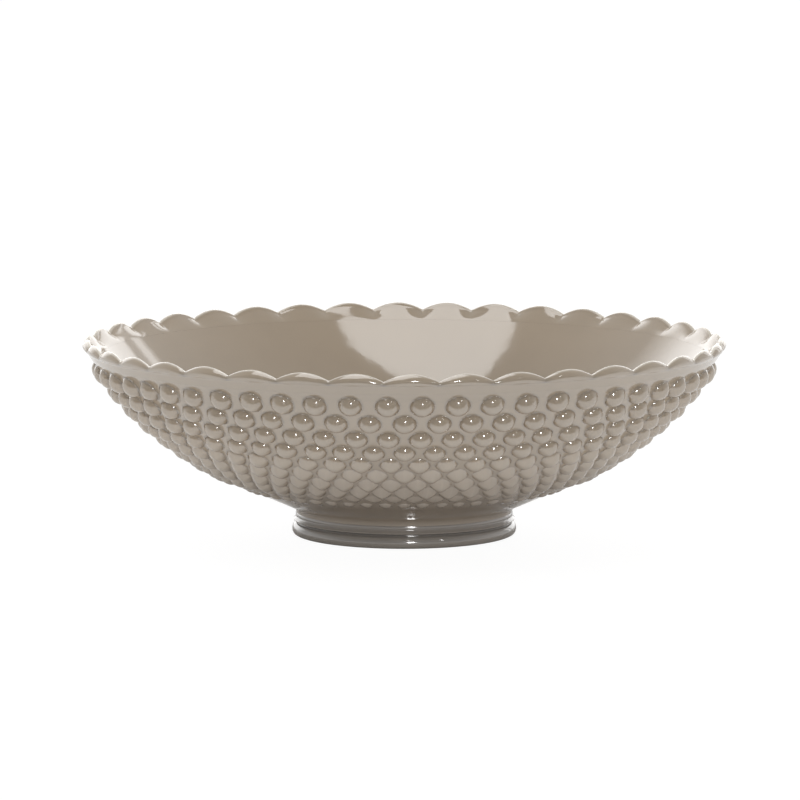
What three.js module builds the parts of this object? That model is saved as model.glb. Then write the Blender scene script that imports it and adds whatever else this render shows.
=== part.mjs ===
// Footed hobnail bowl in glazed ceramic, with a scalloped rim.
// Millimetres, +Z up. The origin is on the resting plane, on the bowl's axis.
// Three pieces are formed apart and luted together before the glaze: the hobnail wall,
// the scalloped rim band on top of it and the turned foot ring under it.
import * as THREE from 'three';

// Overall sizes
const rimDiameter = 320; // over the petals, where they stand out most
const notchHeight = 94.9; // from the table to the notches between petals

// Petals of the rim
const petalCount = 38;
const petalRise = 3.7; // a petal's tip above its notches
const petalRoundness = 1.9; // power of the petal's outline: 2 is a parabola
const petalPhase = 10.7; // degrees from the front to the first petal on the right
const lobeSwell = 1.7; // how far a petal stands out from its own edge
const notchSwell = 0.6; // the same at the creases between petals
const lobeDepth = 2.2; // from the notches down to the level line under the petals
const neckInset = 1.9; // of the wall inside the petals' reach, at that line
const lipThickness = 1.8; // of the rounded edge

// Wall: its outer line is a cone above the foot and then one arc up to the petals
const cornerHeight = 13.1; // from the table to the corner between the cone and the foot's collar
const cornerHollow = 3.2; // radius of the hollow in that corner
const coneDip = 13.4; // degrees that the cone lies flatter than a straight line to the rim
const coneLength = 30.7; // from that corner
const wallThickness = 5.2;
const floorThickness = 6.2;
const rimBandDepth = 6.2; // from the notches down to the joint under the rim band

// Hobs in staggered rows: domes under the rim, then pointed diamonds, and small drops last
const hobsPerRow = 56;
const topRowDepth = 12.8; // along the wall, from the level line down to the top row
const topRowStep = 11.2; // along the wall, from the top row to the next
const rowShrink = 0.97; // each step to the one above it
const plainBand = 27; // least smooth band from the last row to the foot
const domeRows = 3;
const domeWidth = 11.7; // in the top row
const domeHeight = 3.6;
const diamondReach = 0.92; // share of the way to the hobs beside it, and to the next row
const diamondHeight = 3.1; // in the first row of diamonds
const dropRows = 2;
const dropWidth = 6.4;
const dropLength = 5.4;
const dropHeight = 1.5;

// Powers that shape a hob: its outline, 2 for round and 1 for a diamond, its crown and its flank
const domeShape = { outline: 2, crown: 2, flank: 0.6 };
const diamondShape = { outline: 1.3, crown: 1.35, flank: 0.95 };
const dropShape = { outline: 2, crown: 2, flank: 0.8 };

// Foot ring
const footCollarRadius = 53.9;
const footWall = 8;
const ridgeWidth = 1.8; // of the faint ridge at the top of the collar
const ridgeSwell = 0.5;
const collarDrop = 3.5; // from the joint down to the collar's flared lower edge
const collarFlare = 1.1; // height of the flare
const collarEdgeSwell = 1.3;
const coveDrop = 1.5; // from that edge down to the cove
const coveDepth = 0.5; // inside the collar
const baseShoulder = 0.8; // height of the base's rounded top under the cove
const baseReach = 1.9; // of the rounded base, outside the collar
const baseRound = 2.7; // radius of the rounded base
const innerRound = 2.2; // radius of the inner edge of the base

// Joints filled with slip
const jointGap = 0.3;
const seatDepth = 1; // of the turned groove that takes the foot's tongue
const shoulder = 2.5; // of the foot, outside its tongue
const lapHeight = 1.6; // of the step in the joint under the rim band

// Facets
const domeColumns = 4; // round one hob pitch
const domeRings = 3; // from one row to the next
const hollowRings = 3;
const petalColumns = 6;
const plainColumns = 56;
const footColumns = 48;
const insideRings = 8;

const tau = Math.PI * 2;
const tipRadius = rimDiameter / 2;
const footInner = footCollarRadius - footWall;
const tongueRadius = footCollarRadius - shoulder;

// The cone leaves the corner by the collar, and the arc is tangent to it and ends at the
// level line under the petals
const lobeFoot = { r: tipRadius - neckInset, z: notchHeight - lobeDepth };
const riseTo = (a, b) => Math.atan2(b.z - a.z, b.r - a.r);
const corner = { r: footCollarRadius, z: cornerHeight };
const coneSlope = riseTo(corner, lobeFoot) - THREE.MathUtils.degToRad(coneDip);
const onCone = (length) => ({
  r: corner.r + length * Math.cos(coneSlope),
  z: corner.z + length * Math.sin(coneSlope),
});
const coneTop = onCone(coneLength);
const arcLean = riseTo(coneTop, lobeFoot) - coneSlope;
const arcRadius = Math.hypot(lobeFoot.r - coneTop.r, lobeFoot.z - coneTop.z) / (2 * Math.sin(arcLean));
const arcTopSlope = coneSlope + 2 * arcLean;
const arcCentre = {
  r: coneTop.r - arcRadius * Math.sin(coneSlope),
  z: coneTop.z + arcRadius * Math.cos(coneSlope),
};

// The hollow in the corner is tangent to the cone and to the collar
const hollowTangent = cornerHollow * Math.tan((Math.PI / 2 - coneSlope) / 2);
const footHeight = cornerHeight - hollowTangent;
const seatZ = footHeight + seatDepth;
const arcLength = arcRadius * 2 * arcLean;
const lineLength = arcLength + coneLength - hollowTangent;

// A point of the outer line, moved out square to it; slope is the line's rise there
const moveOut = (r, z, slope, proud) => ({ r: r + proud * Math.sin(slope), z: z - proud * Math.cos(slope) });

// A point a distance down the outer line from the level line, and proud of it
function wallPoint(down, proud = 0) {
  if (down > arcLength) {
    const { r, z } = onCone(coneLength + arcLength - down);
    return moveOut(r, z, coneSlope, proud);
  }
  return moveOut(arcCentre.r, arcCentre.z, arcTopSlope - down / arcRadius, arcRadius + proud);
}

// Where a level cuts the arc, or a line inside it
function wallRadiusAt(z, inside = 0) {
  return arcCentre.r + Math.sqrt(Math.max((arcRadius - inside) ** 2 - (arcCentre.z - z) ** 2, 0));
}

// A ring of points round the axis; place gives radius and height at an angle from the front
function makeRing(count, place, start = 0) {
  return Array.from({ length: count }, (_, i) => {
    const angle = start + (i / count) * tau;
    const { r, z } = place(angle);
    return new THREE.Vector3(r * Math.sin(angle), -r * Math.cos(angle), z);
  });
}

const plainRing = (count, r, z, start) => makeRing(count, () => ({ r, z }), start);

// A skin of rings that closes on itself, or on a pole at each end
class Skin {
  constructor(rings) {
    this.points = [];
    this.indices = [];
    this.rings = rings.map((ring) => {
      const first = this.points.length;
      this.points.push(...ring);
      return { first, count: ring.length };
    });
    for (let k = 1; k < rings.length; k += 1) this.stitch(this.rings[k - 1], this.rings[k]);
  }

  // Two rings of one count get the shorter diagonals; others are walked together by angle
  stitch(a, b) {
    if (a.count === b.count) {
      for (let i = 0; i < a.count; i += 1) {
        const next = (i + 1) % a.count;
        const [p, q, s, t] = [a.first + i, a.first + next, b.first + i, b.first + next];
        const rising = this.points[p].distanceTo(this.points[t]);
        const falling = this.points[q].distanceTo(this.points[s]);
        this.indices.push(...(rising < falling ? [p, q, t, p, t, s] : [p, q, s, q, t, s]));
      }
      return;
    }
    let i = 0;
    let j = 0;
    while (i < a.count || j < b.count) {
      const p = a.first + (i % a.count);
      const q = b.first + (j % b.count);
      if (i < a.count && (i + 1) * b.count <= (j + 1) * a.count) {
        i += 1;
        this.indices.push(p, a.first + (i % a.count), q);
      } else {
        j += 1;
        this.indices.push(p, b.first + (j % b.count), q);
      }
    }
  }

  closeOnItself() {
    this.stitch(this.rings[this.rings.length - 1], this.rings[0]);
    return this.geometry();
  }

  closeOnPoles(lowZ, highZ) {
    this.fan(this.rings[0], lowZ, true);
    this.fan(this.rings[this.rings.length - 1], highZ, false);
    return this.geometry();
  }

  fan(ring, z, below) {
    const pole = this.points.length;
    this.points.push(new THREE.Vector3(0, 0, z));
    for (let i = 0; i < ring.count; i += 1) {
      const p = ring.first + i;
      const q = ring.first + ((i + 1) % ring.count);
      this.indices.push(...(below ? [q, p, pole] : [p, q, pole]));
    }
  }

  geometry() {
    const geometry = new THREE.BufferGeometry().setFromPoints(this.points);
    geometry.setIndex(this.indices);
    geometry.computeVertexNormals();
    return geometry;
  }
}

// Rows of hobs down the wall, as many as leave the smooth band free
const hobPitch = tau / hobsPerRow;
const rows = [];
for (let down = topRowDepth, step = topRowStep; down < lineLength - plainBand; step *= rowShrink) {
  rows.push({ down, step, shift: rows.length % 2 ? 0 : hobPitch / 2 });
  down += step;
}

// Half width, half length and height of each row's hobs; domes and diamonds shrink with the girth
rows.forEach((row, k) => {
  const radius = wallPoint(row.down).r;
  if (k < domeRows) {
    const share = radius / wallPoint(topRowDepth).r;
    const half = (domeWidth / 2) * share;
    Object.assign(row, { across: half, along: half, height: domeHeight * share }, domeShape);
  } else if (k < rows.length - dropRows) {
    const across = (radius * hobPitch * diamondReach) / 2;
    const height = (diamondHeight * radius) / wallPoint(rows[domeRows].down).r;
    Object.assign(row, { across, along: row.step * diamondReach, height }, diamondShape);
  } else {
    Object.assign(row, { across: dropWidth / 2, along: dropLength / 2, height: dropHeight }, dropShape);
  }
});

// How far the hobs lift the wall at an angle, a distance down the line
function hobLift(angle, down) {
  let lift = 0;
  for (const row of rows) {
    const turned = (angle - row.shift) / hobPitch;
    const aside = ((turned - Math.round(turned)) * hobPitch * wallPoint(row.down).r) / row.across;
    const along = (down - row.down) / row.along;
    const away = (Math.abs(aside) ** row.outline + Math.abs(along) ** row.outline) ** (1 / row.outline);
    if (away < 1) lift = Math.max(lift, row.height * (1 - away ** row.crown) ** row.flank);
  }
  return lift;
}

// Rings over the hobs, from the lowest up. Between rows of diamonds and drops one ring is turned
// by a quarter pitch, so that its points lie in the valleys.
function hobbedRings() {
  const rings = [];
  const addRing = (down, columns, start = 0) => {
    rings.push(makeRing(hobsPerRow * columns, (angle) => wallPoint(down, hobLift(angle, down)), start));
  };
  const last = rows[rows.length - 1];
  addRing(last.down + last.along, 2, hobPitch / 4);
  for (let k = rows.length - 1; k > 0; k -= 1) {
    const rise = rows[k].down - rows[k - 1].down;
    if (k > domeRows) {
      addRing(rows[k].down, 2);
      addRing(rows[k].down - rise / 2, 2, hobPitch / 4);
    } else {
      for (let j = 0; j < domeRings; j += 1) addRing(rows[k].down - (rise * j) / domeRings, domeColumns);
    }
  }
  addRing(rows[0].down, domeColumns);
  addRing(rows[0].down - rows[0].along * 0.6, domeColumns);
  addRing(rows[0].down - rows[0].along, 2);
  return rings;
}

// The stepped joint under the rim band: the wall's side of it, from outside to inside
const jointZ = notchHeight - rimBandDepth;
const jointOuter = wallRadiusAt(jointZ);
const jointMiddle = (jointOuter + wallRadiusAt(jointZ, wallThickness)) / 2;

// Hobnail wall: underside with the foot's seat, hobs, joint, and smooth inside
function makeWall() {
  const insideArc = arcRadius - wallThickness;
  const insidePoint = (turn) => ({
    r: arcCentre.r + insideArc * Math.sin(turn),
    z: arcCentre.z - insideArc * Math.cos(turn),
  });
  const topTurn = Math.acos((arcCentre.z - jointZ - lapHeight) / insideArc);
  const lowTurn = Math.asin(Math.max(footInner / 4 - arcCentre.r, 0) / insideArc);
  const floorZ = insidePoint(lowTurn).z;
  const underZ = floorZ - floorThickness;
  const seatInner = footInner - jointGap;
  const seatOuter = tongueRadius + jointGap;
  const ring = (r, z) => plainRing(plainColumns, r, z);
  const hollow = Array.from({ length: hollowRings }, (_, k) => {
    const slope = THREE.MathUtils.lerp(Math.PI / 2, coneSlope, k / (hollowRings - 1));
    const centre = { r: footCollarRadius + cornerHollow, z: footHeight };
    return ring(centre.r - cornerHollow * Math.sin(slope), centre.z + cornerHollow * Math.cos(slope));
  });
  const inside = Array.from({ length: insideRings }, (_, k) => {
    const { r, z } = insidePoint(topTurn + ((lowTurn - topTurn) * k) / (insideRings - 1));
    return ring(r, z);
  });
  return new Skin([
    ring(seatInner / 2, underZ),
    ring(seatInner, underZ),
    ring(seatInner, seatZ),
    ring(seatOuter, seatZ),
    ring(seatOuter, footHeight),
    ...hollow,
    ...hobbedRings(),
    ring(jointOuter, jointZ),
    ring(jointMiddle, jointZ),
    ring(jointMiddle, jointZ + lapHeight),
    ...inside,
  ]).closeOnPoles(underZ, floorZ);
}

// Share of a petal's rise: 1 at its tip and 0 at the notches
function petalShare(angle) {
  const turned = ((angle - THREE.MathUtils.degToRad(petalPhase)) / tau) * petalCount;
  const off = Math.min(Math.abs(turned - Math.round(turned)) * 2, 1);
  return 1 - off ** petalRoundness;
}

// Scalloped rim band: stepped joint, neck, lobed petals, rounded edge and sloping inside
function makeRim() {
  const count = petalCount * petalColumns;
  const start = THREE.MathUtils.degToRad(petalPhase);
  const crestRadius = tipRadius - lobeSwell;
  const innerZ = jointZ + lapHeight + jointGap;
  const innerRadius = wallRadiusAt(innerZ, wallThickness);
  const plain = (r, z) => plainRing(petalCount * 2, r, z, start);
  const lobe = (up) => makeRing(count, (angle) => {
    const share = petalShare(angle);
    const crestZ = notchHeight + petalRise * share;
    const swell = THREE.MathUtils.lerp(notchSwell, lobeSwell, share) * Math.sin(Math.PI * up ** 0.8);
    return {
      r: THREE.MathUtils.lerp(lobeFoot.r, crestRadius, up) + swell,
      z: THREE.MathUtils.lerp(lobeFoot.z, crestZ, up),
    };
  }, start);
  const edge = makeRing(count, (angle) => ({
    r: crestRadius - lipThickness,
    z: notchHeight + petalRise * petalShare(angle) - lipThickness * 0.55,
  }), start);
  return new Skin([
    plain(innerRadius, innerZ),
    plain(jointMiddle + jointGap, innerZ),
    plain(jointMiddle + jointGap, jointZ + jointGap),
    plain(jointOuter, jointZ + jointGap),
    lobe(0),
    lobe(0.35),
    lobe(0.75),
    lobe(1),
    edge,
  ]).closeOnItself();
}

// Turned foot ring: tongue and shoulder, ridged collar, cove, rounded base and the hollow inside
function makeFoot() {
  const tongueZ = seatZ - jointGap;
  const topZ = footHeight - jointGap;
  const edge = { r: footCollarRadius + collarEdgeSwell, z: footHeight - collarDrop };
  const cove = { r: footCollarRadius - coveDepth, z: edge.z - coveDrop };
  const base = footCollarRadius + baseReach;
  const outline = new THREE.Path();
  outline.moveTo(footInner, tongueZ);
  outline.lineTo(footInner, innerRound);
  outline.quadraticCurveTo(footInner, 0, footInner + innerRound, 0);
  outline.lineTo(base - baseRound, 0);
  outline.quadraticCurveTo(base, 0, base, baseRound);
  outline.quadraticCurveTo(base, cove.z - baseShoulder, cove.r, cove.z);
  outline.lineTo(edge.r, edge.z);
  outline.quadraticCurveTo(footCollarRadius, edge.z + collarFlare, footCollarRadius, topZ - ridgeWidth);
  outline.quadraticCurveTo(footCollarRadius + 2 * ridgeSwell, topZ - ridgeWidth / 2, footCollarRadius, topZ);
  outline.lineTo(tongueRadius, topZ);
  outline.lineTo(tongueRadius, tongueZ);
  const points = outline.getPoints(3).filter((p, i, all) => i === 0 || p.distanceTo(all[i - 1]) > 0.01);
  return new Skin(points.map((p) => plainRing(footColumns, p.x, p.y))).closeOnItself();
}

function makePiece(name, geometry, color) {
  const glaze = new THREE.MeshStandardMaterial({ color, roughness: 0.18, metalness: 0, flatShading: true });
  const mesh = new THREE.Mesh(geometry, glaze);
  mesh.name = name;
  return mesh;
}

const bowl = new THREE.Group();
bowl.add(makePiece('hobnail_wall', makeWall(), '#a59e91'));
bowl.add(makePiece('scalloped_rim', makeRim(), '#b5ab9b'));
bowl.add(makePiece('foot_ring', makeFoot(), '#6f6a62'));

export default bowl;
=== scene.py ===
import math

import bpy
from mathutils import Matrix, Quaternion, Vector


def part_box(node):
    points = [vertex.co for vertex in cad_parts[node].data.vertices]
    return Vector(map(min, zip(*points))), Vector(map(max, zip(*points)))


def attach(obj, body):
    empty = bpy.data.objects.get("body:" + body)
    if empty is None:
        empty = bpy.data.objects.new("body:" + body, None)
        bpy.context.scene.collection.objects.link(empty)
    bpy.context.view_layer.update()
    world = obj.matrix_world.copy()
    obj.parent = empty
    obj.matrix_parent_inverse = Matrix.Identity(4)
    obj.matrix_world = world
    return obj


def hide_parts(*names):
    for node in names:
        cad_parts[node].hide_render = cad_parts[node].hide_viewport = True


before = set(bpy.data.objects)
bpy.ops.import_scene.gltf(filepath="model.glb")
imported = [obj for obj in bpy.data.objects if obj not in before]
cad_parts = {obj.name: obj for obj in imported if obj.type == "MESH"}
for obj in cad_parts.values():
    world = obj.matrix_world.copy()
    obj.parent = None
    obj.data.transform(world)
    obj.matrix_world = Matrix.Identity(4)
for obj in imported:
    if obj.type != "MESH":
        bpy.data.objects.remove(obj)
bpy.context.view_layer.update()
millimetre = 0.001


# Camera: a long lens a little above the rim, aimed at the middle of the notches
cameraView = {
    "elevation": 6.6,  # degrees
    "distance": 2.680,  # metres from the aim
    "aimHeight": 0.0949,
    "lensPixels": 5394,  # focal length in pixels of the picture
    "aimPixel": (404.2, 343.6),
    "picturePixels": 800,
    "sensorWidth": 36,
}


def makeCamera():
    data = bpy.data.cameras.new("camera")
    data.sensor_width = cameraView["sensorWidth"]
    pixels = cameraView["picturePixels"]
    data.lens = data.sensor_width * cameraView["lensPixels"] / pixels
    data.shift_x = 0.5 - cameraView["aimPixel"][0] / pixels
    data.shift_y = cameraView["aimPixel"][1] / pixels - 0.5
    camera = bpy.data.objects.new("camera", data)
    tilt = math.radians(cameraView["elevation"])
    away = Vector((0, -math.cos(tilt), math.sin(tilt)))
    camera.location = Vector((0, 0, cameraView["aimHeight"])) + away * cameraView["distance"]
    camera.rotation_euler = (math.pi / 2 - tilt, 0, 0)
    bpy.context.scene.collection.objects.link(camera)
    bpy.context.scene.camera = camera


makeCamera()
print("camera ready")


# Arithmetic on node sockets
class Field:
    def __init__(self, tree, socket):
        self.tree = tree
        self.socket = socket

    def calc(self, operation, *others):
        return calcNode(self.tree, operation, self, *others)

    def clamp(self):  # between 0 and 1
        return self.calc("MAXIMUM", 0.0).calc("MINIMUM", 1.0)

    def __add__(self, other):
        return self.calc("ADD", other)

    def __sub__(self, other):
        return self.calc("SUBTRACT", other)

    def __rsub__(self, other):
        return calcNode(self.tree, "SUBTRACT", other, self)

    def __mul__(self, other):
        return self.calc("MULTIPLY", other)

    def __truediv__(self, other):
        return self.calc("DIVIDE", other)

    def __rtruediv__(self, other):
        return calcNode(self.tree, "DIVIDE", other, self)

    def __pow__(self, other):
        return self.calc("POWER", other)

    __radd__ = __add__
    __rmul__ = __mul__


def plug(tree, socket, value):
    if isinstance(value, Field):
        tree.links.new(value.socket, socket)
    else:
        socket.default_value = value


def calcNode(tree, operation, *values):
    node = tree.nodes.new("ShaderNodeMath")
    node.operation = operation
    for socket, value in zip(node.inputs, values):
        plug(tree, socket, value)
    return Field(tree, node.outputs[0])


def addNode(tree, kind, values=None, **settings):
    node = tree.nodes.new(kind)
    for name, value in settings.items():
        setattr(node, name, value)
    for name, value in (values or {}).items():
        plug(tree, node.inputs[name], value)
    return node


# A geometry tree with named inputs; returns the tree and its inputs as fields
def newShapeTree(name, sizes):
    tree = bpy.data.node_groups.new(name, "GeometryNodeTree")
    tree.interface.new_socket("Geometry", in_out="INPUT", socket_type="NodeSocketGeometry")
    tree.interface.new_socket("Geometry", in_out="OUTPUT", socket_type="NodeSocketGeometry")
    for label, value in sizes.items():
        kind = "NodeSocketInt" if isinstance(value, int) else "NodeSocketFloat"
        tree.interface.new_socket(label, in_out="INPUT", socket_type=kind)
    tree.interface.new_socket("Material", in_out="INPUT", socket_type="NodeSocketMaterial")
    entry = tree.nodes.new("NodeGroupInput")
    return tree, {socket.name: Field(tree, socket) for socket in entry.outputs if socket.name}


# Turns the section round the axis: one ring of the skin for each point of the section
def turnSection(tree, given):
    count = addNode(tree, "GeometryNodeAttributeDomainSize", component="MESH")
    plug(tree, count.inputs["Geometry"], given["Geometry"])
    rings = Field(tree, count.outputs["Point Count"])
    skin = addNode(tree, "GeometryNodeMeshCylinder", {
        "Vertices": given["Columns"], "Side Segments": rings - 1, "Radius": 1.0, "Depth": 1.0,
    }, fill_type="NONE")
    place = addNode(tree, "ShaderNodeSeparateXYZ")
    tree.links.new(tree.nodes.new("GeometryNodeInputPosition").outputs[0], place.inputs[0])
    x, y, z = (Field(tree, place.outputs[axis]) for axis in "XYZ")
    ring = ((z + 0.5) * (rings - 1)).calc("ROUND")
    angle = x.calc("ARCTAN2", 0 - y)

    def ofSection(name):
        if name == "position":
            source = Field(tree, tree.nodes.new("GeometryNodeInputPosition").outputs[0])
            kind = "FLOAT_VECTOR"
        else:
            named = addNode(tree, "GeometryNodeInputNamedAttribute", {"Name": name}, data_type="FLOAT")
            source = Field(tree, named.outputs["Attribute"])
            kind = "FLOAT"
        sample = addNode(tree, "GeometryNodeSampleIndex", data_type=kind, domain="POINT")
        plug(tree, sample.inputs["Geometry"], given["Geometry"])
        plug(tree, sample.inputs["Value"], source)
        plug(tree, sample.inputs["Index"], ring)
        return Field(tree, sample.outputs[0])

    point = addNode(tree, "ShaderNodeSeparateXYZ")
    plug(tree, point.inputs[0], ofSection("position"))
    radius, height = Field(tree, point.outputs["X"]), Field(tree, point.outputs["Z"])
    return Field(tree, skin.outputs["Mesh"]), angle, radius, height, ofSection


def storeField(tree, shape, name, value):
    store = addNode(tree, "GeometryNodeStoreNamedAttribute", {"Geometry": shape, "Name": name},
                    data_type="FLOAT", domain="POINT")
    plug(tree, store.inputs["Value"], value)
    return Field(tree, store.outputs[0])


skinFinish = {
    "mergeDistance": 0.01 * millimetre,
    "sharpAngle": math.radians(50),  # edges that bend more stay sharp
}


# Puts each point at its radius and height, closes seams and poles, and hands the mesh out
def finishSkin(tree, given, shape, angle, radius, height):
    spot = addNode(tree, "ShaderNodeCombineXYZ", {
        "X": radius * angle.calc("SINE"), "Y": 0 - radius * angle.calc("COSINE"), "Z": height,
    })
    moved = addNode(tree, "GeometryNodeSetPosition", {
        "Geometry": shape, "Position": Field(tree, spot.outputs[0]),
    })
    joined = addNode(tree, "GeometryNodeMergeByDistance", {
        "Geometry": Field(tree, moved.outputs[0]), "Distance": skinFinish["mergeDistance"],
    })
    smooth = addNode(tree, "GeometryNodeSetShadeSmooth", {"Geometry": Field(tree, joined.outputs[0])})
    bent = Field(tree, tree.nodes.new("GeometryNodeInputMeshEdgeAngle").outputs["Unsigned Angle"])
    creased = addNode(tree, "GeometryNodeSetShadeSmooth", {
        "Geometry": Field(tree, smooth.outputs[0]),
        "Selection": bent.calc("GREATER_THAN", skinFinish["sharpAngle"]),
        "Shade Smooth": False,
    }, domain="EDGE")
    solid = addNode(tree, "GeometryNodeRealizeInstances", {"Geometry": Field(tree, creased.outputs[0])})
    painted = addNode(tree, "GeometryNodeSetMaterial", {
        "Geometry": Field(tree, solid.outputs[0]), "Material": given["Material"],
    })
    leave = tree.nodes.new("NodeGroupOutput")
    tree.links.new(painted.outputs[0], leave.inputs[0])


# A section is an open line of points (radius, height) with a few numbers at each point
def makeSection(name, points):
    mesh = bpy.data.meshes.new(name)
    edges = [(i, i + 1) for i in range(len(points) - 1)]
    mesh.from_pydata([(point["r"], 0, point["z"]) for point in points], edges, [])
    for label in sorted({key for point in points for key in point} - {"r", "z"}):
        column = mesh.attributes.new(label, "FLOAT", "POINT")
        for i, point in enumerate(points):
            column.data[i].value = point.get(label, 0)
    section = bpy.data.objects.new(name, mesh)
    bpy.context.scene.collection.objects.link(section)
    return section


# Runs a shape tree on a section and keeps the result as a plain mesh
def growPiece(name, section, tree, sizes, material, node):
    modifier = section.modifiers.new("shape", "NODES")
    modifier.node_group = tree
    keys = {item.name: item.identifier for item in tree.interface.items_tree if item.in_out == "INPUT"}
    for label, value in sizes.items():
        modifier[keys[label]] = value
    modifier[keys["Material"]] = material
    bpy.context.view_layer.update()
    shaped = section.evaluated_get(bpy.context.evaluated_depsgraph_get())
    mesh = bpy.data.meshes.new_from_object(shaped)
    section.modifiers.remove(modifier)
    bpy.data.objects.remove(section)
    mesh.name = name
    piece = bpy.data.objects.new(name, mesh)
    bpy.context.scene.collection.objects.link(piece)
    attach(piece, "root")
    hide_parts(node)
    print(name, "has", sum(len(face.vertices) - 2 for face in mesh.polygons), "triangles")


# Places shared by the pieces, from the frame
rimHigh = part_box("scalloped_rim")[1]
petalRise = 3.7 * millimetre
tipRadius = min(rimHigh[0], rimHigh[1])
notchHeight = rimHigh[2] - petalRise

# The wall's outer line: an arc under the petals, then a cone, then a small hollow into the collar
profile = {
    "lobeDepth": 2.2 * millimetre,  # level line under the petals, below the notches
    "neckInset": 1.9 * millimetre,
    "arcRadius": 170.3 * millimetre,
    "topSlope": math.radians(58.7),
    "coneSlope": math.radians(24),
    "collarRadius": 53.9 * millimetre,
    "hollowRadius": 3.2 * millimetre,
}


def spread(first, last, count):
    return [first + (last - first) * i / (count - 1) for i in range(count)]


def solveProfile():
    steep, flat, bow = profile["topSlope"], profile["coneSlope"], profile["arcRadius"]
    top = (tipRadius - profile["neckInset"], notchHeight - profile["lobeDepth"])
    centre = (top[0] - bow * math.sin(steep), top[1] + bow * math.cos(steep))
    coneTop = (centre[0] + bow * math.sin(flat), centre[1] - bow * math.cos(flat))
    cornerHeight = coneTop[1] - (coneTop[0] - profile["collarRadius"]) * math.tan(flat)
    hollow = profile["hollowRadius"]
    tangent = hollow * math.tan((math.pi / 2 - flat) / 2)
    coneLow = profile["collarRadius"] + tangent * math.cos(flat)
    profile["centre"] = centre
    profile["coneTop"] = coneTop
    profile["arcLength"] = bow * (steep - flat)
    profile["coneLength"] = (coneTop[0] - coneLow) / math.cos(flat)
    profile["hollowCentre"] = (profile["collarRadius"] + hollow, cornerHeight - tangent)
    profile["collarHeight"] = cornerHeight - tangent


solveProfile()


# A point of the arc by its slope, on the outer line or inside it
def arcPoint(slope, inside=0.0):
    reach = profile["arcRadius"] - inside
    r, z = profile["centre"]
    return {"r": r + reach * math.sin(slope), "z": z - reach * math.cos(slope), "slope": slope}


def arcSlopeAt(height, inside=0.0):
    return math.acos((profile["centre"][1] - height) / (profile["arcRadius"] - inside))


# A point a distance down the outer line from the level line under the petals
def wallPoint(down):
    if down <= profile["arcLength"]:
        return arcPoint(profile["topSlope"] - down / profile["arcRadius"])
    past, slope = down - profile["arcLength"], profile["coneSlope"]
    along = min(past, profile["coneLength"])
    r = profile["coneTop"][0] - along * math.cos(slope)
    z = profile["coneTop"][1] - along * math.sin(slope)
    if past > profile["coneLength"]:
        slope = min(slope + (past - profile["coneLength"]) / profile["hollowRadius"], math.pi / 2)
        r = profile["hollowCentre"][0] - profile["hollowRadius"] * math.sin(slope)
        z = profile["hollowCentre"][1] + profile["hollowRadius"] * math.cos(slope)
    return {"r": r, "z": z, "slope": slope}


# Hobnail wall
wall = {
    "columns": 784,
    "thickness": 5.2 * millimetre,
    "floorThickness": 6.2 * millimetre,
    "bandDepth": 6.2 * millimetre,  # rim band, from the notches down to its joint
    "jointGap": 0.02 * millimetre,
    "lapHeight": 1.6 * millimetre,
    "hobbedRings": 97,
    "bandRings": 7,
    "hollowRings": 5,
    "insideRings": 11,
    "seatDepth": 1.0 * millimetre,  # of the groove that takes the foot's tongue
    "footWall": 8.0 * millimetre,
    "shoulder": 2.5 * millimetre,  # of the foot, outside its tongue
    "poolShadeRow": 4,  # from this row down the glaze grows thicker and greyer, and darker as painted shade for the bowl's shade underneath
    "lowPoolShade": 0.55,
    "lastReach": 0.6,  # of the last hobs' length, from their middle to the smooth band
}
# Hobs in staggered rows down the wall, by the names of their node inputs
hobs = {
    "Hobs Per Row": 56,
    "Rows": 10,
    "Top Row Depth": 12.8 * millimetre,  # along the wall, from the level line
    "Top Row Step": 11.4 * millimetre,
    "Row Shrink": 0.97,
    "Soft Edge": 0.2 * millimetre,
    "Wander": 0.035,
    "Seed": 7,
    "Ground Drop": 0.6 * millimetre,  # of the ground between hobs under the plain wall's line, at the top
    "Drop Fade": 0.7,  # the share of it that is gone by the last row
    "Drop Ease": 5.0 * millimetre,
}
# Round domes under the rim, pointed diamonds lower down and small flat drops by the band.
# Widths are shares of the pitch, lengths are shares of the row step and heights are in millimetres.
# The lean carries a hob's crest down towards its lower tip; the steeper a hob, the nearer 1 its
# "steep", which is the square of the sine of the angle at its brim.
hobLooks = {
    0: {"width": 0.7, "tall": 1.02, "height": 4.5, "square": 2.0, "round": 2.0, "steep": 0.91, "lean": 0.0},
    2: {"width": 0.73, "tall": 0.98, "height": 4.2, "square": 2.0, "round": 2.0, "steep": 0.91, "lean": 0.0},
    3: {"width": 0.76, "tall": 1.0, "height": 3.9, "square": 1.9, "round": 2.0, "steep": 0.9, "lean": 0.0},
    5: {"width": 0.86, "tall": 1.25, "height": 3.2, "square": 1.5, "round": 1.6, "steep": 0.85, "lean": 0.25},
    7: {"width": 0.92, "tall": 1.5, "height": 2.7, "square": 1.35, "round": 1.4, "steep": 0.8, "lean": 0.45},
    8: {"width": 0.86, "tall": 1.1, "height": 1.2, "square": 1.5, "round": 1.6, "steep": 0.8, "lean": 0.2},
    9: {"width": 0.7, "tall": 0.66, "height": 1.2, "square": 2.0, "round": 2.0, "steep": 0.85, "lean": 0.0},
}


def rowDown(row):
    shrink = hobs["Row Shrink"]
    return hobs["Top Row Depth"] + hobs["Top Row Step"] * (1 - shrink**row) / (1 - shrink)


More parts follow.
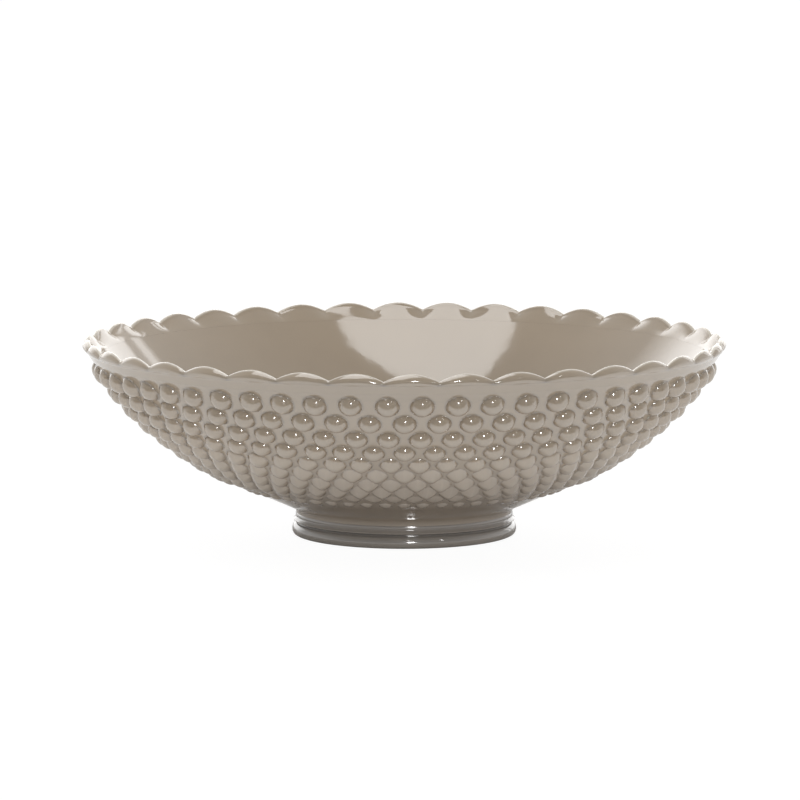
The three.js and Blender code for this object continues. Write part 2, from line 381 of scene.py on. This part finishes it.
# A look's value at a share of the way down the rows, as a curve between the rows that name it
def lookCurve(tree, share, key):
    curve = addNode(tree, "ShaderNodeFloatCurve", {"Value": share})
    points = curve.mapping.curves[0].points
    top = 6.0  # a curve's values run from 0 to 1
    for i, (number, look) in enumerate(sorted(hobLooks.items())):
        place = (number / (hobs["Rows"] - 1), look[key] / top)
        point = points[i] if i < 2 else points.new(*place)
        point.location = place
    for point in points:
        point.handle_type = "VECTOR"
    curve.mapping.update()
    return Field(tree, curve.outputs[0]) * top


# How far the wall stands out at an angle and a distance down it. The same arithmetic moves
# the mesh and, in the glaze, shades it more finely than the mesh's columns allow.
def makeHobGroup(kind):
    group = bpy.data.node_groups.new("hobs", kind)
    for label in ("Angle", "Down", *hobs):
        group.interface.new_socket(label, in_out="INPUT", socket_type="NodeSocketFloat")
    for label in ("Lift", "Away"):
        group.interface.new_socket(label, in_out="OUTPUT", socket_type="NodeSocketFloat")
    entry = group.nodes.new("NodeGroupInput")
    given = {socket.name: Field(group, socket) for socket in entry.outputs if socket.name}
    angle, down, perRow = given["Angle"], given["Down"], given["Hobs Per Row"]
    depth, shrink, step = given["Top Row Depth"], given["Row Shrink"], given["Top Row Step"]
    least = 0.1  # keeps the logarithm real below the last row
    rowSeeds, drawSeeds = 100, 2000  # seeds kept for a row's hobs, and for one kind of draw
    left = (1 - (down - depth) * ((1 - shrink) / step)).calc("MAXIMUM", least)
    rowAt = left.calc("LOGARITHM", shrink)
    found = []
    for parity in (0, 1):
        row = ((rowAt - parity) / 2).calc("ROUND") * 2 + parity
        row = row.calc("MAXIMUM", parity).calc("MINIMUM", given["Rows"] - 2 + parity)
        shrunk = calcNode(group, "POWER", shrink, row)
        share = row / (given["Rows"] - 1)
        look = {key: lookCurve(group, share, key) for key in hobLooks[0]}
        turned = angle * (perRow / (2 * math.pi)) - 0.5 * (1 - parity)
        nearest = turned.calc("ROUND")
        number = nearest.calc("FLOORED_MODULO", perRow) + row * rowSeeds

        def chance(draw):
            noise = addNode(group, "ShaderNodeTexWhiteNoise", noise_dimensions="1D")
            plug(group, noise.inputs["W"], number + (given["Seed"] + draw * drawSeeds))
            return (Field(group, noise.outputs["Value"]) * 2 - 1) * given["Wander"]

        size = 1 + chance(1)
        aside = (turned - nearest - chance(0)) * 2 / (look["width"] * size)
        off = down - depth - (1 - shrunk) * (step / (1 - shrink))
        below = (off * 2 / (look["tall"] * shrunk * step) - chance(2)) / size
        square = look["square"]
        away = (aside.calc("ABSOLUTE") ** square + below.calc("ABSOLUTE") ** square) ** (1 / square)
        brim = (1 - look["steep"]) ** 0.5
        dome = (1 - look["steep"] * away ** look["round"]).calc("MAXIMUM", 0.0) ** 0.5
        cap = ((dome - brim) / (1 - brim)).calc("MAXIMUM", 0.0)
        found.append((cap * look["height"] * millimetre * size * (1 + look["lean"] * below), away))
    soft = given["Soft Edge"]
    raised = soft / 6  # what a smooth maximum adds on level ground
    lift = found[0][0].calc("SMOOTH_MAX", found[1][0], soft) - raised
    ease = given["Drop Ease"]
    drop = ((down - jointDown) / ease).clamp() * ((hobsEnd - down) / ease).clamp()
    drop = drop * (1 - down * (given["Drop Fade"] / hobsEnd)) * given["Ground Drop"]
    leave = group.nodes.new("NodeGroupOutput")
    plug(group, leave.inputs["Lift"], lift - drop)
    plug(group, leave.inputs["Away"], found[0][1].calc("MINIMUM", found[1][1]))
    return group


jointZ = notchHeight - wall["bandDepth"]
jointDown = (profile["topSlope"] - arcSlopeAt(jointZ)) * profile["arcRadius"]
lastRow = hobs["Rows"] - 1
lastLength = hobLooks[lastRow]["tall"] * hobs["Top Row Step"] * hobs["Row Shrink"] ** lastRow
hobsEnd = rowDown(lastRow) + lastLength * wall["lastReach"]

# Glaze: clouds in its tone, a slow ripple with a fine grain, and an uneven gloss
glazeSurface = {
    "cloudDetail": 3.0,
    "rippleScale": 70.0,
    "rippleDetail": 2.0,
    "rippleHeight": 0.4 * millimetre,
    "grainScale": 900.0,
    "grainShare": 0.06,
    "roughness": 0.05,
    "roughSpread": 0.07,
    "roughScale": 35.0,
    "roughDetail": 4.0,
}


# How its tone follows the places where it runs thin or pools, and the painted shade lower on the wall and on
# the foot
def makeToneGroup():
    tree = bpy.data.node_groups.new("glaze tone", "ShaderNodeTree")
    for label, kind in {
        "Body": "NodeSocketColor", "Thin Colour": "NodeSocketColor", "Pool Colour": "NodeSocketColor",
        "Thin": "NodeSocketFloat", "Pool And Shade": "NodeSocketFloat", "Cloud Scale": "NodeSocketFloat",
        "Cloud Depth": "NodeSocketFloat", "Ripple": "NodeSocketFloat", "Normal": "NodeSocketVector",
    }.items():
        tree.interface.new_socket(label, in_out="INPUT", socket_type=kind)
    for label, kind in {
        "Colour": "NodeSocketColor", "Roughness": "NodeSocketFloat", "Normal": "NodeSocketVector",
    }.items():
        tree.interface.new_socket(label, in_out="OUTPUT", socket_type=kind)
    entry = tree.nodes.new("NodeGroupInput")
    given = {socket.name: Field(tree, socket) for socket in entry.outputs if socket.name}
    coords = Field(tree, tree.nodes.new("ShaderNodeTexCoord").outputs["Object"])

    def noise(scale, detail):
        node = addNode(tree, "ShaderNodeTexNoise", {"Vector": coords, "Scale": scale, "Detail": detail})
        return Field(tree, node.outputs["Fac"])

    def mix(first, second, share):
        node = addNode(tree, "ShaderNodeMix", data_type="RGBA")
        colours = [socket for socket in node.inputs if socket.type == "RGBA"]
        plug(tree, node.inputs[0], share)
        plug(tree, colours[0], first)
        plug(tree, colours[1], second)
        return Field(tree, [socket for socket in node.outputs if socket.type == "RGBA"][0])

    cloud = noise(given["Cloud Scale"], glazeSurface["cloudDetail"])
    pooled = mix(given["Body"], given["Pool Colour"], given["Pool And Shade"])
    thinned = mix(pooled, given["Thin Colour"], given["Thin"])
    level = 1 + (cloud - 0.5) * given["Cloud Depth"]
    toned = addNode(tree, "ShaderNodeHueSaturation", {"Color": thinned, "Value": level})
    grain = noise(glazeSurface["grainScale"], glazeSurface["rippleDetail"])
    ripple = noise(glazeSurface["rippleScale"], glazeSurface["rippleDetail"])
    bump = addNode(tree, "ShaderNodeBump", {
        "Strength": given["Ripple"], "Distance": glazeSurface["rippleHeight"],
        "Height": ripple + grain * glazeSurface["grainShare"], "Normal": given["Normal"],
    })
    uneven = noise(glazeSurface["roughScale"], glazeSurface["roughDetail"])
    leave = tree.nodes.new("NodeGroupOutput")
    tree.links.new(toned.outputs[0], leave.inputs["Colour"])
    plug(tree, leave.inputs["Roughness"], glazeSurface["roughness"] + uneven * glazeSurface["roughSpread"])
    tree.links.new(bump.outputs[0], leave.inputs["Normal"])
    return tree


toneGroup = makeToneGroup()

# How the glaze gathers round a hob and runs thin on its crest
hobGlaze = {
    "creaseAt": 1.03,  # in half widths of the hob, from its middle, like the two widths here
    "creaseWidth": 0.14,
    "creasePool": 0.4,
    "crestWidth": 0.625,
    "crestThin": 0.15,
}


# The hobs' shading: the normal of their exact height over the plain wall, and their glaze
def makeHobShading():
    group = bpy.data.node_groups.new("hob shading", "ShaderNodeTree")
    group.interface.new_socket("Normal", in_out="OUTPUT", socket_type="NodeSocketVector")
    for label in ("Thin", "Pool And Shade"):
        group.interface.new_socket(label, in_out="OUTPUT", socket_type="NodeSocketFloat")

    def attribute(name):
        return Field(group, addNode(group, "ShaderNodeAttribute", attribute_name=name).outputs["Fac"])

    place = addNode(group, "ShaderNodeSeparateXYZ")
    group.links.new(group.nodes.new("ShaderNodeTexCoord").outputs["Object"], place.inputs[0])
    angle = Field(group, place.outputs["X"]).calc("ARCTAN2", 0 - Field(group, place.outputs["Y"]))
    slope, hobbed = attribute("slope"), attribute("hobbed")
    node = addNode(group, "ShaderNodeGroup", node_tree=makeHobGroup("ShaderNodeTree"))
    for label, value in dict(hobs, Angle=angle, Down=attribute("down")).items():
        plug(group, node.inputs[label], value)
    away = Field(group, node.outputs["Away"])
    plain = addNode(group, "ShaderNodeCombineXYZ", {
        "X": angle.calc("SINE") * slope.calc("SINE"), "Y": 0 - angle.calc("COSINE") * slope.calc("SINE"),
        "Z": 0 - slope.calc("COSINE"),
    })
    bump = addNode(group, "ShaderNodeBump", {
        "Strength": 1.0, "Distance": 1.0, "Height": Field(group, node.outputs["Lift"]),
        "Normal": Field(group, plain.outputs[0]),
    })
    mixed = addNode(group, "ShaderNodeMix", data_type="VECTOR")
    vectors = [socket for socket in mixed.inputs if socket.type == "VECTOR" and socket.enabled]
    plug(group, mixed.inputs[0], hobbed.calc("GREATER_THAN", 0.5))
    group.links.new(group.nodes.new("ShaderNodeNewGeometry").outputs["Normal"], vectors[0])
    group.links.new(bump.outputs[0], vectors[1])
    normal = [socket for socket in mixed.outputs if socket.type == "VECTOR"][0]
    fromCrease = (away - hobGlaze["creaseAt"]).calc("ABSOLUTE") / hobGlaze["creaseWidth"]
    crease = (1 - fromCrease).calc("MAXIMUM", 0.0) * hobbed * hobGlaze["creasePool"]
    crest = (1 - away / hobGlaze["crestWidth"]).calc("MAXIMUM", 0.0) * hobbed * hobGlaze["crestThin"]
    leave = group.nodes.new("NodeGroupOutput")
    group.links.new(normal, leave.inputs["Normal"])
    # Besides the pool round each hob, this takes in the wall's darkening towards the foot, which is partly
    # painted shade
    plug(group, leave.inputs["Pool And Shade"], crease.calc("MAXIMUM", attribute("pool")))
    plug(group, leave.inputs["Thin"], crest)
    return group


def makeGlaze(name, look):
    material = bpy.data.materials.new(name)
    material.use_nodes = True
    tree = material.node_tree
    shader = tree.nodes["Principled BSDF"]
    shader.inputs["IOR"].default_value = look["ior"]
    tone = addNode(tree, "ShaderNodeGroup", node_tree=toneGroup)
    for label, key in {"Body": "body", "Thin Colour": "thin", "Pool Colour": "pool"}.items():
        tone.inputs[label].default_value = (*look[key], 1)
    tone.inputs["Cloud Scale"].default_value = look["cloudScale"]
    tone.inputs["Cloud Depth"].default_value = look["cloudDepth"]
    tone.inputs["Ripple"].default_value = look["ripple"]
    if look["hobbed"]:
        source = addNode(tree, "ShaderNodeGroup", node_tree=makeHobShading())
        for label in ("Thin", "Pool And Shade", "Normal"):
            tree.links.new(source.outputs[label], tone.inputs[label])
    else:
        for label, attribute in {"Thin": "thin", "Pool And Shade": "pool"}.items():
            read = addNode(tree, "ShaderNodeAttribute", attribute_name=attribute)
            tree.links.new(read.outputs["Fac"], tone.inputs[label])
        tree.links.new(tree.nodes.new("ShaderNodeNewGeometry").outputs["Normal"], tone.inputs["Normal"])
    tree.links.new(tone.outputs["Colour"], shader.inputs["Base Color"])
    tree.links.new(tone.outputs["Roughness"], shader.inputs["Roughness"])
    tree.links.new(tone.outputs["Normal"], shader.inputs["Normal"])
    return material


greige = {
    "body": (0.48, 0.385, 0.28),
    # A darker colour for the glaze's pools, also used as painted shade low on the wall
    "pool": (0.31, 0.272, 0.235),
    "cloudScale": 22.0,
    "cloudDepth": 0.16,
    "ripple": 0.25,
    "ior": 2.3,
}
glazeLooks = {
    "wall": dict(greige, thin=(0.52, 0.47, 0.4), hobbed=True),
    "rim": dict(greige, thin=(0.95, 0.88, 0.76), hobbed=False),
    # The foot's colours are darker and greyer than the wall's, as painted shade for the bowl's shade over the
    # foot
    "foot": {
        "body": (0.3, 0.272, 0.242),
        "pool": (0.18, 0.17, 0.16),
        "thin": (0.42, 0.38, 0.33),
        "hobbed": False,
        "cloudScale": 30.0,
        "cloudDepth": 0.2,
        "ripple": 0.3,
        "ior": 2.3,
    },
}
glazes = {name: makeGlaze(name + " glaze", look) for name, look in glazeLooks.items()}
print("glazes ready")


def makeWallTree(sizes):
    tree, given = newShapeTree("hobnail wall", sizes)
    skin, angle, radius, height, ofSection = turnSection(tree, given)
    node = addNode(tree, "GeometryNodeGroup", node_tree=makeHobGroup("GeometryNodeTree"))
    plug(tree, node.inputs["Angle"], angle)
    plug(tree, node.inputs["Down"], ofSection("down"))
    for label in hobs:
        plug(tree, node.inputs[label], given[label])
    hobbed, slope = ofSection("hobbed"), ofSection("slope")
    lift = Field(tree, node.outputs["Lift"]) * hobbed
    for label in ("down", "hobbed", "slope", "pool"):
        skin = storeField(tree, skin, label, ofSection(label))
    outward, upward = slope.calc("SINE") * lift, slope.calc("COSINE") * lift
    finishSkin(tree, given, skin, angle, radius + outward, height - upward)
    return tree


def makeWallSection():
    thickness = wall["thickness"]
    lapZ = jointZ + wall["lapHeight"]
    middle = (wallPoint(jointDown)["r"] + arcPoint(arcSlopeAt(jointZ, thickness), thickness)["r"]) / 2
    insideSlopes = spread(arcSlopeAt(lapZ, thickness), 0.0, wall["insideRings"])
    inside = [arcPoint(slope, thickness) for slope in insideSlopes]
    floorZ = inside[-1]["z"]
    underZ = floorZ - wall["floorThickness"]
    seatInner = profile["collarRadius"] - wall["footWall"] - wall["jointGap"]
    seatOuter = profile["collarRadius"] - wall["shoulder"] + wall["jointGap"]
    seatZ = profile["collarHeight"] + wall["seatDepth"]
    coneEnd = profile["arcLength"] + profile["coneLength"]
    lineEnd = coneEnd + profile["hollowRadius"] * (math.pi / 2 - profile["coneSlope"])
    downs = spread(lineEnd, coneEnd, wall["hollowRings"]) + spread(coneEnd, hobsEnd, wall["bandRings"])[1:]
    points = [{"r": 0, "z": underZ}, {"r": seatInner / 2, "z": underZ}, {"r": seatInner, "z": underZ}]
    points += [{"r": seatInner, "z": seatZ}, {"r": seatOuter, "z": seatZ}]
    points.append({"r": seatOuter, "z": profile["collarHeight"]})
    # Painted shade, in part: from that row down to the last hobs the colour moves towards the darker colour
    poolShadeTop = rowDown(wall["poolShadeRow"])
    for down in downs + spread(hobsEnd, jointDown, wall["hobbedRings"])[1:]:
        low = (down - poolShadeTop) / (hobsEnd - poolShadeTop)
        pool = wall["lowPoolShade"] * min(max(low, 0), 1)
        points.append(dict(wallPoint(down), down=down, pool=pool, hobbed=int(down < hobsEnd)))
    points += [{"r": middle, "z": jointZ}, {"r": middle, "z": lapZ}]
    points += inside
    points.append({"r": 0, "z": floorZ})
    return makeSection("wall section", points)


wallSizes = dict(hobs, Columns=wall["columns"])
growPiece("hobnail_bowl_wall", makeWallSection(), makeWallTree(wallSizes), wallSizes,
          glazes["wall"], "hobnail_wall")


# Scalloped rim band
petalCount = 38
petals = {
    "Columns": petalCount * 24,  # 24 to a petal
    "Petals": petalCount,
    "Petal Rise": petalRise,
    "Phase": math.radians(10.7),
    "Roundness": 1.9,
}
rim = {
    "lobeSwell": 2.1 * millimetre,
    "notchSwell": 0.6 * millimetre,
    "lobeShape": 0.85,
    "lobeSkew": 0.9,  # under 1, it carries the fullest part of a petal a little down
    "neckRings": 5,
    "lobeRings": 18,
    "notchFocus": 3.0,  # how closely the pooled glaze keeps to the notches
    "thinFrom": 0.86,  # of a petal's height
    "lip": 1.8 * millimetre,
    "lipReach": 0.9,  # inwards, and the drop, as shares of the lip
    "lipDrop": 0.5,
    "lipRings": 6,
    "insideRings": 7,
    "insideHollow": 1.3,  # 1 for a straight inner face
    "insideFade": 1.6,  # how soon the petals die out down the inner face
}


# Each section point says how far it rises and swells from the notches to a petal's tip
def makeRimTree():
    tree, given = newShapeTree("scalloped rim", petals)
    skin, angle, radius, height, ofSection = turnSection(tree, given)
    turned = (angle - given["Phase"]) * given["Petals"] / (2 * math.pi)
    off = ((turned - turned.calc("ROUND")) * 2).calc("ABSOLUTE").calc("MINIMUM", 1.0)
    share = 1 - off ** given["Roundness"]
    marked = storeField(tree, skin, "thin", ofSection("thin"))
    marked = storeField(tree, marked, "pool", ofSection("crease") * (1 - share) ** rim["notchFocus"])
    rise = ofSection("rise") * share * given["Petal Rise"]
    finishSkin(tree, given, marked, angle, radius + ofSection("swell") * share, height + rise)
    return tree


def makeRimSection():
    thickness = wall["thickness"]
    lowZ = jointZ + wall["jointGap"]
    lapZ = lowZ + wall["lapHeight"]
    outer, inner = arcPoint(arcSlopeAt(lowZ)), arcPoint(arcSlopeAt(lowZ, thickness), thickness)
    middle = (outer["r"] + inner["r"]) / 2 + wall["jointGap"]
    innerTop = arcPoint(arcSlopeAt(lapZ, thickness), thickness)
    crest = tipRadius - rim["lobeSwell"]
    lobeFoot = arcPoint(profile["topSlope"])
    points = [innerTop, {"r": middle, "z": lapZ}, {"r": middle, "z": lowZ}]
    points += [arcPoint(slope) for slope in spread(arcSlopeAt(lowZ), profile["topSlope"], rim["neckRings"])]
    for up in spread(0, 1, rim["lobeRings"])[1:]:
        bow = max(math.sin(math.pi * up ** rim["lobeSkew"]), 0) ** rim["lobeShape"]
        points.append({
            "r": lobeFoot["r"] + (crest - lobeFoot["r"]) * up + rim["notchSwell"] * bow,
            "z": lobeFoot["z"] + (notchHeight - lobeFoot["z"]) * up,
            "swell": (rim["lobeSwell"] - rim["notchSwell"]) * bow,
            "rise": up,
            "thin": max(0, up - rim["thinFrom"]) / (1 - rim["thinFrom"]),
            "crease": 1 - up,
        })
    lip = rim["lip"]
    for step in spread(0, 1, rim["lipRings"])[1:]:
        turn = step * math.pi / 2
        points.append({
            "r": crest - lip * math.sin(turn) * rim["lipReach"],
            "z": notchHeight - lip * rim["lipDrop"] * (1 - math.cos(turn)),
            "rise": 1,
            "thin": 1 - step,
        })
    edge = points[-1]
    for down in spread(0, 1, rim["insideRings"])[1:-1]:
        points.append({
            "r": innerTop["r"] + (edge["r"] - innerTop["r"]) * (1 - down) ** rim["insideHollow"],
            "z": edge["z"] + (lapZ - edge["z"]) * down,
            "rise": (1 - down) ** rim["insideFade"],
        })
    points.append(innerTop)
    return makeSection("rim section", points)


growPiece("petal_rim_band", makeRimSection(), makeRimTree(), petals,
          glazes["rim"], "scalloped_rim")


# Foot ring, from its joint with the wall down
foot = {
    "columns": 240,
    "ridgeWidth": 1.8 * millimetre,
    "ridgeSwell": 0.25 * millimetre,
    "collarDrop": 3.5 * millimetre,  # from the joint to the flared edge
    "flare": 1.1 * millimetre,
    "edgeSwell": 1.3 * millimetre,
    "edgeRound": 0.6 * millimetre,
    "coveDrop": 1.5 * millimetre,  # from that edge to the deepest line of the cove
    "coveDepth": 0.5 * millimetre,
    "coveLean": 0.2 * millimetre,
    "baseShoulder": 0.8 * millimetre,
    "baseReach": 1.9 * millimetre,
    "baseRound": 2.7 * millimetre,
    "innerRound": 2.2 * millimetre,
    "baseThin": 0.25,  # how thin the glaze runs over the rounded edges, and how dark the cove is painted, as painted shade under the flared edge
    "edgeThin": 0.3,
    "coveShade": 0.8,
}


def bend(first, middle, last, steps, **marks):
    points = []
    for t in spread(0, 1, steps + 1)[1:]:
        a, b, c = (1 - t) ** 2, 2 * t * (1 - t), t * t
        r = a * first[0] + b * middle[0] + c * last[0]
        z = a * first[1] + b * middle[1] + c * last[1]
        points.append(dict(marks, r=r, z=z))
    return points


def makeFootSection():
    collar, inner = profile["collarRadius"], profile["collarRadius"] - wall["footWall"]
    tongue = collar - wall["shoulder"]
    topZ = profile["collarHeight"] - wall["jointGap"]
    tongueZ = topZ + wall["seatDepth"]
    base, baseRound, innerRound = collar + foot["baseReach"], foot["baseRound"], foot["innerRound"]
    edgeR, edgeZ = collar + foot["edgeSwell"], profile["collarHeight"] - foot["collarDrop"]
    soft = foot["edgeRound"]
    underEdge = (edgeR - soft, edgeZ - soft)
    cove = (collar - foot["coveDepth"], edgeZ - foot["coveDrop"])
    coveTop = (cove[0] + foot["coveLean"], edgeZ - soft)
    ridge = topZ - foot["ridgeWidth"]
    ridgeMiddle = (collar + 2 * foot["ridgeSwell"], topZ - foot["ridgeWidth"] / 2)
    points = [{"r": inner, "z": tongueZ}, {"r": inner, "z": innerRound}]
    points += bend((inner, innerRound), (inner, 0), (inner + innerRound, 0), steps=8)
    points.append({"r": base - baseRound, "z": 0})
    points += bend((base - baseRound, 0), (base, 0), (base, baseRound), steps=10, thin=foot["baseThin"])
    points += bend((base, baseRound), (base, cove[1] - foot["baseShoulder"]), cove, steps=10)
    # Painted shade in the cove under the flared edge
    points += bend(cove, coveTop, underEdge, steps=6, pool=foot["coveShade"])
    points += bend(underEdge, (edgeR, edgeZ - soft), (edgeR, edgeZ), steps=5, thin=foot["edgeThin"])
    points += bend((edgeR, edgeZ), (collar, edgeZ + foot["flare"]), (collar, ridge), steps=10)
    points += bend((collar, ridge), ridgeMiddle, (collar, topZ), steps=8)
    points += [{"r": tongue, "z": topZ}, {"r": tongue, "z": tongueZ}, {"r": inner, "z": tongueZ}]
    return makeSection("foot section", points)


def makeFootTree():
    tree, given = newShapeTree("turned foot", {"Columns": foot["columns"]})
    skin, angle, radius, height, ofSection = turnSection(tree, given)
    marked = storeField(tree, skin, "thin", ofSection("thin"))
    marked = storeField(tree, marked, "pool", ofSection("pool"))
    finishSkin(tree, given, marked, angle, radius, height)
    return tree


growPiece("turned_foot_ring", makeFootSection(), makeFootTree(), {"Columns": foot["columns"]},
          glazes["foot"], "foot_ring")


# Studio: white table, bright backdrop behind, dim above the camera, a softbox overhead, two small lamps
studio = {
    "floorHalf": 8.0,
    "floorDrop": 0.2 * millimetre,
    "floorColour": (0.9, 0.9, 0.9),
    "floorRoughness": 0.6,
    "floorGlow": 0.9,
    "floorWhite": 1.06,
    "frontColour": (0.3, 0.3, 0.3),  # of the floor in front of the white sheet; the camera sees white
    "sheetEdge": -0.25,
    "sheetSharpness": 30,  # per metre
    "shadeRadius": 0.06,  # the bowl's own shade on the table, which its glaze shows
    "shadeEdge": 0.09,
    "front": 0.32,  # behind the camera
    "frontEnd": -0.55,  # from here to backStart the room changes from front to back
    "back": 0.8,
    "backStart": 0.4,
    "overhead": 0.55,
    "backdrop": 2.1,
    "backdropTurn": 42,  # degrees from straight behind to the backdrop's edges
    "leftBlur": 9,
    "rightBlur": 1,
    "backdropTop": 0.75,
    "backdropFull": 0.5,  # it fades from this height to its top
    "seam": 10,  # a dark upright seam, in degrees from the backdrop's right edge
    "seamEnd": 3,
    "seamBlur": 2,
    "seamDepth": 0.9,
}
lamps = {
    "softbox": {
        "place": (-0.3, -0.46, 1.28), "aim": (-0.3, -0.46, 0), "size": (0.9, 1.15), "spin": -43, "glow": 1.65,
    },
    "front lamp": {
        "place": (0.39, -3.16, 0.47), "aim": (0, 0, 0.05), "size": (0.42, 0.42), "spin": 0, "glow": 34,
    },
    "side lamp": {
        "place": (1.8, -2.1, 1.5), "aim": (0, 0, 0.05), "size": (0.07, 0.25), "spin": 15, "glow": 30,
    },
}


def makeFloor():
    half = studio["floorHalf"]
    mesh = bpy.data.meshes.new("floor")
    corners = [(-half, -half, 0), (half, -half, 0), (half, half, 0), (-half, half, 0)]
    mesh.from_pydata(corners, [], [(0, 1, 2, 3)])
    floor = bpy.data.objects.new("floor", mesh)
    floor.location.z = -studio["floorDrop"]
    bpy.context.scene.collection.objects.link(floor)
    material = bpy.data.materials.new("white table")
    material.use_nodes = True
    tree = material.node_tree
    shader = tree.nodes["Principled BSDF"]
    shader.inputs["Roughness"].default_value = studio["floorRoughness"]
    place = addNode(tree, "ShaderNodeSeparateXYZ")
    tree.links.new(tree.nodes.new("ShaderNodeTexCoord").outputs["Object"], place.inputs[0])
    x, y = Field(tree, place.outputs["X"]), Field(tree, place.outputs["Y"])
    sheet = ((y - studio["sheetEdge"]) * studio["sheetSharpness"] + 0.5).clamp()
    ray = tree.nodes.new("ShaderNodeLightPath")
    camera = Field(tree, ray.outputs["Is Camera Ray"])
    glossy = Field(tree, ray.outputs["Is Glossy Ray"])
    colour = addNode(tree, "ShaderNodeMixRGB", {
        "Fac": camera.calc("MAXIMUM", sheet),
        "Color1": (*studio["frontColour"], 1), "Color2": (*studio["floorColour"], 1),
    })
    tree.links.new(colour.outputs[0], shader.inputs["Base Color"])
    glow = addNode(tree, "ShaderNodeEmission", {"Strength": studio["floorWhite"], "Color": (1, 1, 1, 1)})
    lit = (((x**2 + y**2) ** 0.5 - studio["shadeRadius"]) / studio["shadeEdge"]).clamp()
    seen = camera.calc("MAXIMUM", glossy * sheet * lit)
    blend = tree.nodes.new("ShaderNodeMixShader")
    plug(tree, blend.inputs[0], seen * studio["floorGlow"])
    tree.links.new(shader.outputs[0], blend.inputs[1])
    tree.links.new(glow.outputs[0], blend.inputs[2])
    tree.links.new(blend.outputs[0], tree.nodes["Material Output"].inputs["Surface"])
    mesh.materials.append(material)


# A lamp's glow is how bright its face is, so a larger face with the same glow gives more light
def makeLamp(name, lamp):
    data = bpy.data.lights.new(name, "AREA")
    data.shape = "RECTANGLE"
    data.size, data.size_y = lamp["size"]
    data.energy = lamp["glow"] * math.pi * data.size * data.size_y
    light = bpy.data.objects.new(name, data)
    light.location = lamp["place"]
    back = Vector(lamp["place"]) - Vector(lamp["aim"])
    spin = Quaternion((0, 0, 1), math.radians(lamp["spin"]))
    light.rotation_euler = (back.to_track_quat("Z", "Y") @ spin).to_euler()
    bpy.context.scene.collection.objects.link(light)


def makeWorld():
    world = bpy.data.worlds.new("studio")
    world.use_nodes = True
    tree = world.node_tree
    background = tree.nodes["Background"]
    coords = addNode(tree, "ShaderNodeSeparateXYZ")
    tree.links.new(tree.nodes.new("ShaderNodeTexCoord").outputs["Generated"], coords.inputs[0])
    x, y, z = (Field(tree, coords.outputs[axis]) for axis in "XYZ")

    def rise(value, low, high):
        return ((value - low) / (high - low)).clamp()

    depth = rise(y, studio["frontEnd"], studio["backStart"])
    room = studio["front"] + depth * (studio["back"] - studio["front"])
    room = room * (1 - z.calc("MAXIMUM", 0.0) * (1 - studio["overhead"]))
    turn = x.calc("ARCTAN2", y) * (180 / math.pi)
    edge = studio["backdropTurn"]
    lit = rise(turn, -edge - studio["leftBlur"], -edge + studio["leftBlur"])
    lit = lit * rise(0 - turn, -edge - studio["rightBlur"], -edge + studio["rightBlur"])
    lit = lit * rise(0 - z, -studio["backdropTop"], -studio["backdropFull"])
    seamLeft, seamRight = edge - studio["seam"], edge - studio["seamEnd"]
    seam = rise(turn, seamLeft, seamLeft + studio["seamBlur"])
    seam = seam * rise(0 - turn, -seamRight, studio["seamBlur"] - seamRight)
    level = room + lit * (1 - seam * studio["seamDepth"]) * (studio["backdrop"] - room)
    ray = Field(tree, tree.nodes.new("ShaderNodeLightPath").outputs["Is Camera Ray"])
    plug(tree, background.inputs["Strength"], level * (1 - ray) + ray)
    background.inputs["Color"].default_value = (1, 1, 1, 1)
    bpy.context.scene.world = world


makeFloor()
for lampName, lampLook in lamps.items():
    makeLamp(lampName, lampLook)
makeWorld()
bpy.context.scene.view_settings.view_transform = "Standard"
print("studio ready")
